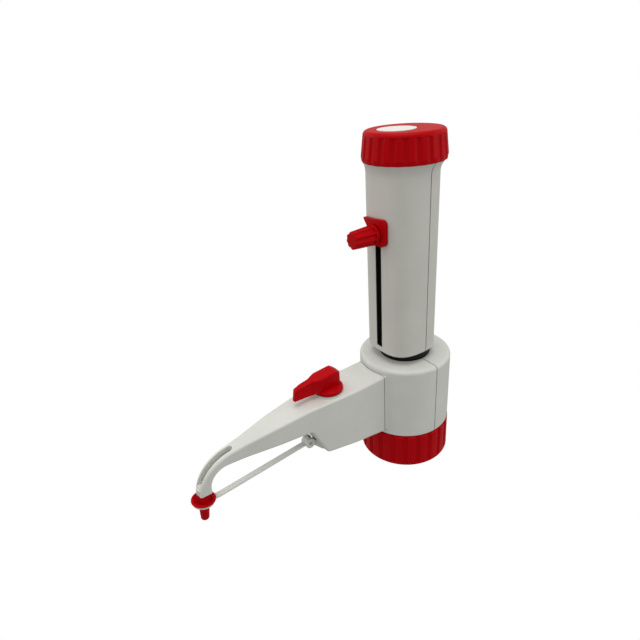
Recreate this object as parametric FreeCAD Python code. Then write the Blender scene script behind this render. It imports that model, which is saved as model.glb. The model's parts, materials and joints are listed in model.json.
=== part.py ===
import FreeCAD, Part
import math
import os

# Bottle-top dispenser: a hand-lifted piston pump that screws onto a reagent bottle.
# Millimetres. Z is the pump axis, z = 0 is the lower rim of the bottle ring, and the
# discharge arm points along -Y.

V = FreeCAD.Vector

# Fits
GAP = 0.3             # air between pieces that move past each other
RUN_FIT = 0.06        # radial play of a piston, a plug or a pin in its bore
SEAT_FIT = 0.05       # radial play of a piece that is screwed or pushed in for good

# Bottle ring and what it clamps
RING_R = 29.4
RING_H = 24.0
RING_WEB = 4.0
RING_FOOT_EDGE = 0.7
RING_EDGE_R = 0.6
BOTTLE_THREAD_R = 22.5
THREAD_END = 12.0
RELIEF_R = 22.9
RING_FLUTES = 22
RING_FLUTE_DEPTH = 0.35
FLUTE_R = 4.5
RING_FLUTE_END = 0.8
NECK_R = 16.9
SEAT_FLANGE_R = 20.6
SEAT_FLANGE_H = 5.5
SEAL_T = 1.5
SEAL_BORE_R = 12.0

# Case around the valve block
CASE_STEP = 0.4
CASE_TOP = 71.0
CASE_WALL = 2.2
CASE_LID = 2.5
CASE_EDGE_R = 1.4
CASE_LEDGE = 2.0
BLOCK_FLANGE_Z = 26.0
BLOCK_FLANGE_H = 3.0
BLOCK_R = 18.0
BLOCK_TOP = 69.5
BLOCK_DISH = 1.6
PASSAGE_R = 2.2

# Filling valve under the block
FILL_SHANK_R = 8.0
FILL_SHANK = 11.0
FILL_FLANGE_R = 10.0
FILL_FLANGE_H = 3.0
FILL_WASHER_T = 1.0
FILL_BORE_R = 1.8
FILL_POCKET_FIT = 0.6
FILL_CONE = 1.8
NIPPLE_R = 3.2
NIPPLE_L = 7.4
NIPPLE_LEAD = 0.6
BALL_R = 3.4
BALL_ROOM = 1.0

# Measuring cylinder, sleeve and piston
BORE_R = 10.1
GLASS_WALL = 1.8
GLASS_TOP = 166.0
GASKET_T = 0.8
SLEEVE_R = 14.0
SLEEVE_WALL = 1.5
SLEEVE_TOP = 168.0
SLEEVE_FOOT_R = 14.7
SLEEVE_FOOT_H = 3.0
NUT_R = 15.7
NUT_LIFT = 4.0
NUT_RISE = 0.6
NUT_TOP = 77.0
STOP_RING_R = 15.2
STOP_RING_H = 5.0
PISTON_H = 14.0
PISTON_GROOVE = 0.8
PISTON_LIP = 4.0
PISTON_SOCKET = 6.0
PISTON_ROD_R = 5.5
ROD_THREAD_R = 4.0
ROD_FLANGE_R = 8.0
ROD_FLANGE_H = 3.0
ROD_END = 6.0
ROD_NUT_H = 4.5

# Lifting housing: a rounded shape, squarer in front than at the back
HOUSING_X = 18.9
HOUSING_FRONT = 21.0
HOUSING_REAR = 17.5
FRONT_POWER = 3.0
REAR_POWER = 2.0
HOUSING_BOTTOM = 79.3
HOUSING_BEVEL = 0.7
HOUSING_WALL = 2.0
HOUSING_WEB = 3.0
FLARE_Z = 186.6
RIM_Z = 192.8
RIM_R = 22.4
CAP_Y = -1.8
SPIGOT_R = 20.2
SPIGOT_H = 7.0
SEAM = 0.1
SEAM_LIP = 0.25
SEAM_DEPTH = 0.6
SLOT_W = 4.2
SLOT_BOTTOM = 83.5
SLOT_TOP = 159.5

# Cap and its label disc
CAP_BOTTOM_R = 22.6
CAP_R = 23.4
CAP_TOP_R = 21.9
CAP_WIDEST = 2.6
CAP_SHOULDER_R = 2.0
CAP_H = 16.0
CAP_EDGE_R = 2.4
CAP_WALL = 2.0
CAP_FLUTES = 22
CAP_FLUTE_DEPTH = 0.25
LABEL_R = 10.4
LABEL_Y = -7.3
LABEL_T = 0.6
LABEL_SUNK = 0.3

# Volume slider and thumb screw
SLIDER_Z = 155.5
PLATE_X = 8.0
PLATE_UP = 9.2
PLATE_DOWN = 6.3
PLATE_T = 2.2
PLATE_CORNER = 3.0
POINTER_X = 11.4
POINTER_FALL = 1.5
POINTER_DROP = 5.5
CARRIER_X = 6.0
CARRIER_T = 1.8
STEM_H = 7.0
RAIL_LIP = 0.35
RAIL_SUNK = 0.15
RAIL_T = 1.0
RAIL_X = 7.6
RAIL_END = 1.0
RACK_PITCH = 2.0
RACK_X = 7.0
RACK_W = 3.4
RACK_ROOT = 15.9
TOOTH_H = 0.9
KNOB_ROOT_R = 5.9
KNOB_END_R = 5.0
KNOB_L = 15.6
KNOB_FLUTES = 9
KNOB_FLUTE_R = 1.7
KNOB_FLUTE_OUT = 0.6
KNOB_FLUTE_START = 2.5
KNOB_EDGE_R = 0.8
STUD_R = 1.2
STUD_IN_KNOB = 9.4

# Discharge arm
ARM_X = 12.5
ARM_TOP = 69.1
ARM_FLOOR = 27.4
ARM_EDGE_R = 1.4
ARM_WALL = 1.8
FACE_INSET = 1.2
ARM_JOINT = 0.4
NECK_FILLET = 2.0
BOX_FRONT = 71.0
BOX_FLOOR_FRONT = 31.8
BEAM_START = 80.2
BEAM_FLOOR = 51.4
TIP_FLOOR = 52.2
ARM_KNEE = 80.0
ARM_KNEE_TOP = 67.3
ARM_SLOPE_Y = 102.0
ARM_SLOPE_TOP = 64.3
TIP_X = 4.1
TIP_OUTER = 150.0
TIP_OUTER_TOP = 55.7
TIP_OUTER_R = 24.4
TIP_INNER = 142.4
TIP_INNER_R = 10.5
TIP_END = 39.5
TIP_COLLAR_R = 3.9
TIP_COLLAR_H = 3.2
TIP_COLLAR_Y = 0.4
NOZZLE_Y = -146.8
NOZZLE_LEAN = 6.0
RIB_T = 2.0
RIB_NEAR = 33.0
RIB_FAR = 66.0
CAVITY_END = 116.0
ARM_BEND_R = 90.0
BOX_INNER_R = 3.0
BOX_OUTER_R = 4.0

# Discharge channel inside the arm
CHANNEL_Z = 56.0
UNION_R = 5.0
UNION_HEX = 13.0
UNION_NEAR = 20.2
UNION_FAR = 38.0
UNION_BORE_R = 1.8
UNION_LIP = 0.8
VALVE_BODY_R = 7.4
VALVE_BODY_END = 72.0
TOWER_RISE = 0.4
SPRING_END = 49.0
SPRING_R = 2.1
SPRING_WIRE = 0.35
SPRING_SIDES = 6
SPRING_TURNS = 4.5
SPRING_ON_BALL = 0.8
TUBE_R = 1.4
TUBE_BORE_R = 0.8
TUBE_BEND_R = 22.0
TUBE_SOCKET = 4.0
TUBE_END = 32.0
TUBE_NUT_R = 4.0
TUBE_NUT_L = 6.0
GROOVE_X = 2.0
GROOVE_START = 128.2
GROOVE_FLOOR_R = 20.2
GROOVE_BOTTOM = 44.0

# Recirculation valve on the arm
LEVER_Y = -61.0
LEVER_DISC_R = 8.8
LEVER_DISC_H = 2.3
LEVER_PAD_R = 9.3
LEVER_PAD_TOP = 68.6
LEVER_TOP = 82.0
LEVER_CREST = 1.0
LEVER_BACK_DROP = 2.4
LEVER_BACK_R = 3.6
LEVER_CREST_R = 12.0
LEVER_NOSE_R = 4.0
LEVER_BEVEL = 0.6
LEVER_NECK_X = 2.3
LEVER_TIP_R = 0.7
LEVER_NOSE_TOP = 79.4
LEVER_NOSE_FLOOR = 71.2
LEVER_BACK = 7.2
LEVER_GRIP = 7.6
LEVER_STEP = 5.5
LEVER_NOSE = 24.4
LEVER_GRIP_X = 4.8
LEVER_NOSE_X = 1.4
LEVER_WAIST = 0.75
PLUG_R = 4.0
PLUG_FOOT = 7.0
PLUG_SOCKET = 2.6
PLUG_BORE_R = 1.1
PLUG_SEAL_R = 6.4
PLUG_SEAL_T = 1.2

# Nozzle closure, its strap and the pin that the strap hangs on
CLOSURE_RIM_R = 6.8
CLOSURE_RIM_Z = 35.0
CLOSURE_RIM_T = 1.2
CLOSURE_DISH = 1.6
HUB_R = 3.5
STUB_R = 3.0
STUB_END_R = 2.3
STUB_END = 20.5
SOCKET_R = 2.2
SOCKET_MOUTH_R = 2.9
SOCKET_FLOOR = 27.3
STRAP_RING_R = 6.0
STRAP_T = 1.2
STRAP_W = 3.4
STRAP_BEND_R = 20.0
STRAP_BEND_Y = 2.0
STRAP_LAP = 1.2
PIN_Y = -78.3
PIN_Z = 37.8
PIN_R = 1.0
PIN_HALF = 3.1
LUG_X = 1.2
LUG_TIP_R = 2.0
LUG_LEAN = 29.0
LUG_FOOT_X = 9.0
LUG_FOOT_Y = 69.0
LUG_WAIST_Y = 74.7
LUG_TOP = 36.7
LUG_FLOOR = 32.0
EYE_R = 3.2
EYE_W = 1.4

# Sizes that follow
CASE_R = RING_R - CASE_STEP
CASE_Z = RING_H + GAP
SEAT_TOP = RING_H - RING_WEB - GAP
SEAT_Z = SEAT_TOP - SEAT_FLANGE_H
SLEEVE_FOOT_TOP = BLOCK_TOP + SLEEVE_FOOT_H
GLASS_R = BORE_R + GLASS_WALL
PISTON_Z = BLOCK_TOP + GAP
CAP_Z = RIM_Z
CAP_TOP = CAP_Z + CAP_H
PLATE_FACE = HOUSING_FRONT + GAP + PLATE_T
FILL_SEAT = SEAT_Z - SEAL_T + NIPPLE_L + FILL_FLANGE_H + FILL_WASHER_T
NUT_FOOT = CHANNEL_Z + VALVE_BODY_R + NUT_RISE
BLOCK_SHOULDER = NUT_FOOT - NUT_LIFT
RAIL_FACE = HOUSING_FRONT - HOUSING_WALL - RAIL_T
ARM_FACE = CASE_R - FACE_INSET
ARM_ROOT = ARM_FACE + ARM_JOINT
TOWER_TOP = CHANNEL_Z + VALVE_BODY_R + TOWER_RISE


def along_z(radius, z0, z1, x=0.0, y=0.0):
    return Part.makeCylinder(radius, z1 - z0, V(x, y, z0))


def ring_z(outer, inner, z0, z1, x=0.0, y=0.0):
    return along_z(outer, z0, z1, x, y).cut(along_z(inner, z0 - 1, z1 + 1, x, y))


def along_arm(radius, start, end, z=CHANNEL_Z):
    return Part.makeCylinder(radius, end - start, V(0, -start, z), V(0, -1, 0))


def across(radius, half, y, z):
    return Part.makeCylinder(radius, 2 * half, V(-half, y, z), V(1, 0, 0))


def block(x0, x1, y0, y1, z0, z1):
    return Part.makeBox(x1 - x0, y1 - y0, z1 - z0, V(x0, y0, z0))


def outline(points, place):
    """Closed wire through (a, b, corner radius) points, each corner rounded by its radius."""
    edges = []
    flat = [V(p[0], p[1], 0) for p in points]
    starts, ends, arcs = [], [], []
    for i, corner in enumerate(flat):
        radius = points[i][2] if len(points[i]) > 2 else 0.0
        back = (flat[i - 1] - corner).normalize()
        ahead = (flat[(i + 1) % len(flat)] - corner).normalize()
        half = back.getAngle(ahead) / 2
        if radius == 0.0:
            starts.append(corner)
            ends.append(corner)
            arcs.append(None)
            continue
        reach = radius / math.tan(half)
        middle = (back + ahead).normalize() * (radius / math.sin(half) - radius)
        starts.append(corner + back * reach)
        ends.append(corner + ahead * reach)
        arcs.append(corner + middle)
    for i in range(len(flat)):
        if arcs[i] is not None:
            arc = Part.Arc(place(starts[i]), place(arcs[i]), place(ends[i]))
            edges.append(arc.toShape())
        nxt = (i + 1) % len(flat)
        if (starts[nxt] - ends[i]).Length > 1e-6:
            edges.append(Part.makeLine(place(ends[i]), place(starts[nxt])))
    return Part.Wire(edges)


def turned(points, x=0.0, y=0.0):
    """Solid of revolution about a vertical axis from (radius, z, corner radius) points."""
    wire = outline(points, lambda p: V(x + p.x, y, p.y))
    return Part.Face(wire).revolve(V(x, y, 0), V(0, 0, 1), 360)


def turned_along_arm(points, z=CHANNEL_Z):
    """Solid of revolution about the discharge channel from (distance out, radius) points."""
    wire = outline(points, lambda p: V(0, -p.x, z + p.y))
    return Part.Face(wire).revolve(V(0, 0, z), V(0, 1, 0), 360)


def plan_prism(points, z0, z1):
    wire = outline(points, lambda p: V(p.x, p.y, z0))
    return Part.Face(wire).extrude(V(0, 0, z1 - z0))


def side_prism(points, x0, x1):
    """Prism across the arm from (distance out, z, corner radius) points."""
    wire = outline(points, lambda p: V(x0, -p.x, p.y))
    return Part.Face(wire).extrude(V(x1 - x0, 0, 0))


def front_prism(points, y0, y1):
    wire = outline(points, lambda p: V(p.x, y0, p.y))
    return Part.Face(wire).extrude(V(0, y1 - y0, 0))


def mirrored(half):
    """Points of a half outline on +X, followed by the same points on -X."""
    return half + [(-p[0],) + tuple(p[1:]) for p in reversed(half)]


def fluted(solid, count, depth, foot, head, y=0.0):
    """Cut shallow grip flutes into a round wall between two (radius, z) ends."""
    out = FLUTE_R - depth
    for i in range(count):
        turn = 2 * math.pi * i / count
        ahead = V(math.sin(turn), math.cos(turn), 0)
        start = V(0, y, foot[1]) + ahead * (foot[0] + out)
        way = V(0, 0, head[1] - foot[1]) + ahead * (head[0] - foot[0])
        solid = solid.cut(Part.makeCylinder(FLUTE_R, way.Length, start, way))
    return solid


def housing_radius(turn, inset):
    """Distance from the axis to the housing wall, at an angle measured from the front."""
    forward = math.cos(turn)
    power = FRONT_POWER if forward > 0 else REAR_POWER
    depth = (HOUSING_FRONT if forward > 0 else HOUSING_REAR) - inset
    side = (abs(math.sin(turn)) / (HOUSING_X - inset)) ** power
    return (side + (abs(forward) / depth) ** power) ** (-1 / power)


def rim_radius(turn):
    """The same distance to the round rim under the cap, whose centre lies forward."""
    ahead = -CAP_Y
    return ahead * math.cos(turn) + math.sqrt(RIM_R ** 2 - (ahead * math.sin(turn)) ** 2)


def section(z, inset=0.0, flare=0.0):
    """Closed smooth section of the housing, blended towards its round rim by flare."""
    count = 48
    points = []
    for i in range(count):
        turn = 2 * math.pi * i / count
        round_radius = rim_radius(turn) - inset
        radius = (1 - flare) * housing_radius(turn, inset) + flare * round_radius
        points.append(V(radius * math.sin(turn), -radius * math.cos(turn), z))
    curve = Part.BSplineCurve()
    curve.interpolate(Points=points, PeriodicFlag=True)
    return Part.Wire([curve.toShape()])


def housing_prism(inset, z0, z1):
    return Part.Face(section(z0, inset)).extrude(V(0, 0, z1 - z0))


def halves(solid, core):
    """Front and rear shells, parted on the plane through the axis, wider outside the core."""
    far = 100
    lip = block(-far, far, -SEAM_LIP, SEAM_LIP, -far, 3 * far).cut(core)
    front = solid.common(block(-far, far, -far, -SEAM, -far, 3 * far))
    rear = solid.common(block(-far, far, SEAM, far, -far, 3 * far))
    return front.cut(lip), rear.cut(lip)


def bottle_ring():
    wall = turned([
        (BOTTLE_THREAD_R, 0.0),
        (RING_R, 0.0, RING_FOOT_EDGE),
        (RING_R, RING_H, RING_EDGE_R),
        (NECK_R + GAP, RING_H),
        (NECK_R + GAP, RING_H - RING_WEB),
        (RELIEF_R, RING_H - RING_WEB),
        (RELIEF_R, THREAD_END),
        (BOTTLE_THREAD_R, THREAD_END),
    ])
    foot = (RING_R, RING_FLUTE_END)
    return fluted(wall, RING_FLUTES, RING_FLUTE_DEPTH, foot, (RING_R, RING_H + 1))


def seat_flange():
    return ring_z(SEAT_FLANGE_R, NECK_R + SEAT_FIT, SEAT_Z, SEAT_TOP)


def bottle_seal():
    return ring_z(SEAT_FLANGE_R, SEAL_BORE_R, SEAT_Z - SEAL_T, SEAT_Z)


def valve_block():
    flange_top = BLOCK_FLANGE_Z + BLOCK_FLANGE_H
    body = turned([
        (0.0, SEAT_Z),
        (NECK_R, SEAT_Z),
        (NECK_R, BLOCK_FLANGE_Z),
        (CASE_R - CASE_WALL - SEAT_FIT, BLOCK_FLANGE_Z),
        (CASE_R - CASE_WALL - SEAT_FIT, flange_top),
        (BLOCK_R, flange_top, 1.0),
        (BLOCK_R, BLOCK_SHOULDER, 1.5),
        (SLEEVE_FOOT_R, BLOCK_SHOULDER),
        (SLEEVE_FOOT_R, BLOCK_TOP),
        (0.0, BLOCK_TOP),
    ])
    body = body.fuse(along_arm(VALVE_BODY_R, 0, UNION_FAR - UNION_HEX + GAP))
    cuts = [
        along_z(FILL_FLANGE_R + FILL_POCKET_FIT, SEAT_Z - 1, FILL_SEAT),
        along_z(FILL_SHANK_R, FILL_SEAT - 1, FILL_SEAT + FILL_SHANK + GAP),
        along_z(PASSAGE_R, FILL_SEAT, BLOCK_TOP + 1),
        Part.makeCone(PASSAGE_R, BORE_R - 1, BLOCK_DISH, V(0, 0, BLOCK_TOP - BLOCK_DISH)),
        along_arm(PASSAGE_R, 0, UNION_FAR),
        along_arm(UNION_R + SEAT_FIT, UNION_NEAR, UNION_FAR),
    ]
    return body.cut(cuts[0].multiFuse(cuts[1:])).removeSplitter()


def filling_valve():
    """Screwed seat of the filling valve, recessed in the block so that its nipple is too."""
    shank_top = FILL_SEAT + FILL_SHANK
    flange_top = FILL_SEAT - FILL_WASHER_T
    flange_z = flange_top - FILL_FLANGE_H
    foot = flange_z - NIPPLE_L
    chamber_r = BALL_R + BALL_ROOM
    cone_z = FILL_SEAT + FILL_CONE
    body = turned([
        (0.0, foot),
        (NIPPLE_R - NIPPLE_LEAD, foot),
        (NIPPLE_R, foot + NIPPLE_LEAD),
        (NIPPLE_R, flange_z),
        (FILL_FLANGE_R, flange_z, 0.6),
        (FILL_FLANGE_R, flange_top),
        (FILL_SHANK_R - SEAT_FIT, flange_top),
        (FILL_SHANK_R - SEAT_FIT, shank_top),
        (0.0, shank_top),
    ])
    inside = turned([
        (0.0, foot - 1),
        (FILL_BORE_R, foot - 1),
        (FILL_BORE_R, cone_z),
        (chamber_r, cone_z + chamber_r - FILL_BORE_R),
        (chamber_r, shank_top + 1),
        (0.0, shank_top + 1),
    ])
    return body.cut(inside)


def filling_ball():
    seat = BALL_R * math.cos(math.pi / 4)
    centre = FILL_SEAT + FILL_CONE + 2 * seat - FILL_BORE_R + RUN_FIT
    return Part.makeSphere(BALL_R, V(0, 0, centre))


def filling_washer():
    foot = FILL_SEAT - FILL_WASHER_T
    return ring_z(FILL_FLANGE_R, FILL_SHANK_R + SEAT_FIT, foot, FILL_SEAT)


def arm_face_points(inset):
    """Rounded rectangle where the arm meets the case, as seen from the front."""
    half = [
        (ARM_X - inset, ARM_FLOOR + inset, ARM_EDGE_R),
        (ARM_X - inset, ARM_TOP - inset, ARM_EDGE_R),
    ]
    return mirrored(half)


def neck_fillets():
    """Concave blends between the round case and the flat sides of its arm neck."""
    out_x = ARM_X + NECK_FILLET
    centre_y = -math.sqrt((CASE_R + NECK_FILLET) ** 2 - out_x ** 2)
    share = CASE_R / (CASE_R + NECK_FILLET)
    webs = []
    for side in (-1, 1):
        points = [
            (side * ARM_X, centre_y),
            (side * out_x * share, centre_y * share),
            (side * (ARM_X - 2), centre_y * share),
        ]
        web = plan_prism(points, ARM_FLOOR + ARM_EDGE_R, ARM_TOP - ARM_EDGE_R)
        webs.append(web.cut(along_z(NECK_FILLET, 0, CASE_TOP, side * out_x, centre_y)))
    return webs


def casing():
    """Round case with its neck for the arm, hollow and open below, before it is parted."""
    outer = turned([
        (0.0, CASE_Z),
        (CASE_R, CASE_Z, 0.5),
        (CASE_R, CASE_TOP, CASE_EDGE_R),
        (0.0, CASE_TOP),
    ])
    neck = front_prism(arm_face_points(0.0), -ARM_FACE, -BLOCK_R)
    outer = outer.multiFuse([neck] + neck_fillets())
    inner = along_z(CASE_R - CASE_WALL, CASE_Z - 1, CASE_TOP - CASE_LID)
    opening = front_prism(arm_face_points(ARM_WALL), -CASE_R - 1, -BLOCK_R)
    hole = along_z(NUT_R + GAP, CASE_Z, CASE_TOP + 1)
    shell = outer.cut(inner.multiFuse([opening, hole]))
    ledge_z = BLOCK_FLANGE_Z + BLOCK_FLANGE_H
    rim = CASE_R - CASE_WALL
    ledge = ring_z(rim + 0.5, rim - CASE_LEDGE, ledge_z, ledge_z + CASE_LEDGE)
    ledge = ledge.cut(block(-ARM_X, ARM_X, -CASE_R, 0, ledge_z - 1, ledge_z + CASE_LEDGE + 1))
    return shell.fuse(ledge).removeSplitter()


def cylinder_gasket():
    return ring_z(SLEEVE_R - SLEEVE_WALL - SEAT_FIT, BORE_R + GAP, BLOCK_TOP, BLOCK_TOP + GASKET_T)


def glass_cylinder():
    wall = ring_z(GLASS_R, BORE_R, BLOCK_TOP + GASKET_T, GLASS_TOP)
    rounded = [e for e in wall.Edges if abs(e.CenterOfMass.z - GLASS_TOP) < 1e-3]
    return wall.makeFillet(0.4, rounded)


def guide_sleeve():
    inner = SLEEVE_R - SLEEVE_WALL
    return turned([
        (inner, BLOCK_TOP),
        (SLEEVE_FOOT_R, BLOCK_TOP),
        (SLEEVE_FOOT_R, SLEEVE_FOOT_TOP),
        (SLEEVE_R, SLEEVE_FOOT_TOP),
        (SLEEVE_R, SLEEVE_TOP),
        (inner, SLEEVE_TOP),
    ])


def stop_ring():
    return turned([
        (SLEEVE_R + SEAT_FIT, SLEEVE_TOP - STOP_RING_H),
        (STOP_RING_R, SLEEVE_TOP - STOP_RING_H, 0.4),
        (STOP_RING_R, SLEEVE_TOP + SLEEVE_WALL, 0.4),
        (GLASS_R - 0.4, SLEEVE_TOP + SLEEVE_WALL),
        (GLASS_R - 0.4, SLEEVE_TOP),
        (SLEEVE_R + SEAT_FIT, SLEEVE_TOP),
    ])


def cylinder_nut():
    return turned([
        (SLEEVE_FOOT_R + SEAT_FIT, NUT_FOOT),
        (NUT_R, NUT_FOOT),
        (NUT_R, NUT_TOP, 0.6),
        (SLEEVE_R + SEAT_FIT, NUT_TOP),
        (SLEEVE_R + SEAT_FIT, SLEEVE_FOOT_TOP),
        (SLEEVE_FOOT_R + SEAT_FIT, SLEEVE_FOOT_TOP),
    ])


def piston_head():
    radius = BORE_R - RUN_FIT
    z = PISTON_Z
    waist = radius - PISTON_GROOVE
    inner = PISTON_ROD_R + SEAT_FIT
    slope = 0.6
    return turned([
        (0.0, z),
        (radius - 1.2, z),
        (radius, z + 1.6),
        (radius, z + PISTON_LIP),
        (waist, z + PISTON_LIP + slope),
        (waist, z + PISTON_H - PISTON_LIP - slope),
        (radius, z + PISTON_H - PISTON_LIP),
        (radius, z + PISTON_H, 0.6),
        (inner, z + PISTON_H),
        (inner, z + PISTON_SOCKET),
        (0.0, z + PISTON_SOCKET),
    ])


def piston_rod():
    foot = PISTON_Z + PISTON_SOCKET
    flange = FLARE_Z - ROD_FLANGE_H
    end = FLARE_Z + HOUSING_WEB + ROD_END
    return turned([
        (0.0, foot),
        (PISTON_ROD_R, foot),
        (PISTON_ROD_R, flange - ROD_FLANGE_R + PISTON_ROD_R),
        (ROD_FLANGE_R, flange),
        (ROD_FLANGE_R, FLARE_Z),
        (ROD_THREAD_R, FLARE_Z),
        (ROD_THREAD_R, end, 0.6),
        (0.0, end),
    ])


def rod_nut():
    deck = FLARE_Z + HOUSING_WEB
    corners = []
    for i in range(6):
        turn = math.pi * i / 3
        corners.append((ROD_FLANGE_R * math.cos(turn), ROD_FLANGE_R * math.sin(turn)))
    nut = plan_prism(corners, deck, deck + ROD_NUT_H)
    return nut.cut(along_z(ROD_THREAD_R + SEAT_FIT, deck - 1, deck + ROD_NUT_H + 1))


def housing_outside(inset):
    """Wall of the housing and its flare to the round rim, or a copy set in all round."""
    wall = housing_prism(inset, HOUSING_BOTTOM + HOUSING_BEVEL, FLARE_Z)
    levels = [0.0, 0.4, 0.75, 1.0]
    rise = RIM_Z - FLARE_Z
    flare = [section(FLARE_Z + t * rise, inset, t ** 2) for t in levels]
    return wall.fuse(Part.makeLoft(flare, True, False))


def housing():
    """Whole lifting housing: tapered foot, straight wall, flare to the round rim."""
    foot = Part.makeLoft([
        section(HOUSING_BOTTOM, HOUSING_BEVEL),
        section(HOUSING_BOTTOM + HOUSING_BEVEL),
    ], True, True)
    spigot = along_z(SPIGOT_R, RIM_Z, RIM_Z + SPIGOT_H, 0, CAP_Y)
    body = foot.multiFuse([housing_outside(0.0), spigot])
    cavity = housing_prism(HOUSING_WALL, HOUSING_BOTTOM + HOUSING_WEB, FLARE_Z)
    guide = along_z(SLEEVE_R + GAP, HOUSING_BOTTOM - 1, FLARE_Z)
    attic = along_z(SPIGOT_R - HOUSING_WALL, FLARE_Z + HOUSING_WEB, RIM_Z + SPIGOT_H + 1, 0, CAP_Y)
    bolt = along_z(ROD_THREAD_R + SEAT_FIT, FLARE_Z - 1, RIM_Z)
    return body.cut(cavity.multiFuse([guide, attic, bolt])).removeSplitter()


def slot_shape(grow, inner):
    """Prism through the front wall in the shape of the slot, or larger all round by grow."""
    half = SLOT_W / 2 + grow
    low = (half, SLOT_BOTTOM - grow, 0.5 + grow)
    high = (half, SLOT_TOP + grow, 0.5 + grow)
    return front_prism(mirrored([low, high]), -HOUSING_FRONT - 1, -inner)


def gear_rack():
    """Dark rail that lines the slot, with a toothed comb on one side for the slider's steps."""
    z0 = SLOT_BOTTOM - RAIL_END
    z1 = SLOT_TOP + RAIL_END
    seat = HOUSING_WALL + SEAT_FIT
    flange = housing_prism(seat, z0, z1).cut(housing_prism(seat + RAIL_T, z0 - 1, z1 + 1))
    flange = flange.common(block(-RAIL_X, RAIL_X, -HOUSING_FRONT, -RACK_ROOT, z0, z1))
    lips = slot_shape(RAIL_LIP - SEAT_FIT, RAIL_FACE).common(housing_prism(RAIL_SUNK, z0, z1))
    profile = [(-HOUSING_FRONT, SLOT_BOTTOM), (-RACK_ROOT, SLOT_BOTTOM)]
    for i in range(int((SLOT_TOP - SLOT_BOTTOM) / RACK_PITCH)):
        z = SLOT_BOTTOM + i * RACK_PITCH
        profile.append((-RACK_ROOT + TOOTH_H, z + RACK_PITCH / 2))
        profile.append((-RACK_ROOT, z + RACK_PITCH))
    profile.append((-HOUSING_FRONT, profile[-1][1]))
    wire = outline(profile, lambda p: V(RACK_X, p.x, p.y))
    comb = Part.Face(wire).extrude(V(RACK_W, 0, 0)).common(housing_prism(seat, z0, z1))
    rail = flange.multiFuse([lips, comb])
    return rail.cut(slot_shape(0.0, SLEEVE_R)).removeSplitter()


def top_cap():
    shoulder = CAP_Z + CAP_WIDEST
    outer = turned([
        (0.0, CAP_Z),
        (CAP_BOTTOM_R, CAP_Z, 0.5),
        (CAP_R, shoulder, CAP_SHOULDER_R),
        (CAP_TOP_R, CAP_TOP, CAP_EDGE_R),
        (0.0, CAP_TOP),
    ], 0.0, CAP_Y)
    foot = (CAP_R, shoulder - CAP_SHOULDER_R)
    head = (CAP_TOP_R, CAP_TOP - CAP_SHOULDER_R)
    outer = fluted(outer, CAP_FLUTES, CAP_FLUTE_DEPTH, foot, head, CAP_Y)
    inner = along_z(SPIGOT_R + SEAT_FIT, CAP_Z - 1, CAP_TOP - CAP_WALL, 0, CAP_Y)
    recess = along_z(LABEL_R + SEAT_FIT, CAP_TOP - LABEL_SUNK, CAP_TOP + 1, 0, LABEL_Y)
    return outer.cut(inner).cut(recess)


def cap_label():
    z0 = CAP_TOP - LABEL_SUNK
    return along_z(LABEL_R, z0, z0 + LABEL_T, 0, LABEL_Y)


def slider_plate():
    """Saddle that wraps the front of the housing, with a pointer wing and a guide stem."""
    z0 = SLIDER_Z - PLATE_DOWN
    z1 = SLIDER_Z + PLATE_UP
    saddle = housing_prism(-GAP - PLATE_T, z0, z1).cut(housing_prism(-GAP, z0 - 1, z1 + 1))
    face = front_prism([
        (PLATE_X, z0, PLATE_CORNER),
        (PLATE_X, z1, PLATE_CORNER),
        (-POINTER_X, z1 - POINTER_FALL, 0.4),
        (-PLATE_X + 1, z1 - POINTER_DROP, 1.0),
        (-PLATE_X + 1, z0, PLATE_CORNER),
    ], -PLATE_FACE - 1, -HOUSING_FRONT + 6)
    stem_x = SLOT_W / 2 - GAP
    inner = RAIL_FACE - GAP
    stem = block(-stem_x, stem_x, -HOUSING_FRONT - GAP - 0.5, -inner,
                 SLIDER_Z - STEM_H / 2, SLIDER_Z + STEM_H / 2)
    stud_hole = along_arm(STUD_R + RUN_FIT, inner - 1, PLATE_FACE + 1, SLIDER_Z)
    return saddle.common(face).fuse(stem).cut(stud_hole).removeSplitter()


def slider_carrier():
    """Plate inside the housing that rides behind the rail and takes the thumb screw."""
    near = RAIL_FACE - GAP
    inset = HOUSING_FRONT - near
    z0 = SLIDER_Z - PLATE_DOWN
    z1 = SLIDER_Z + PLATE_UP
    wall = housing_prism(inset, z0, z1)
    wall = wall.cut(housing_prism(inset + CARRIER_T, z0 - 1, z1 + 1))
    face = front_prism(mirrored([(CARRIER_X, z0, 1.5), (CARRIER_X, z1, 1.5)]),
                       -HOUSING_FRONT, -HOUSING_FRONT + 2 * CARRIER_X)
    hole = along_arm(STUD_R + SEAT_FIT, near - CARRIER_T - 1, near + 1, SLIDER_Z)
    return wall.common(face).cut(hole)


def thumb_knob():
    start = PLATE_FACE + GAP
    end = start + KNOB_L
    grip = turned_along_arm([
        (start, 0.0),
        (start, KNOB_ROOT_R, KNOB_EDGE_R),
        (end, KNOB_END_R, KNOB_EDGE_R),
        (end, 0.0),
    ], SLIDER_Z)
    reach = KNOB_ROOT_R + KNOB_FLUTE_OUT
    lean = (KNOB_ROOT_R - KNOB_END_R) / KNOB_L
    for i in range(KNOB_FLUTES):
        turn = 2 * math.pi * i / KNOB_FLUTES
        out = V(math.sin(turn), 0, math.cos(turn))
        foot = V(0, -start - KNOB_FLUTE_START, SLIDER_Z) + out * reach
        way = V(0, -1, 0) - out * lean
        grip = grip.cut(Part.makeCylinder(KNOB_FLUTE_R, KNOB_L + 2, foot, way))
    return grip.cut(along_arm(STUD_R + SEAT_FIT, start - 1, start + STUD_IN_KNOB, SLIDER_Z))


def thumb_stud():
    inner = RAIL_FACE - GAP - CARRIER_T
    return along_arm(STUD_R, inner + 0.2, PLATE_FACE + STUD_IN_KNOB, SLIDER_Z)


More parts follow.
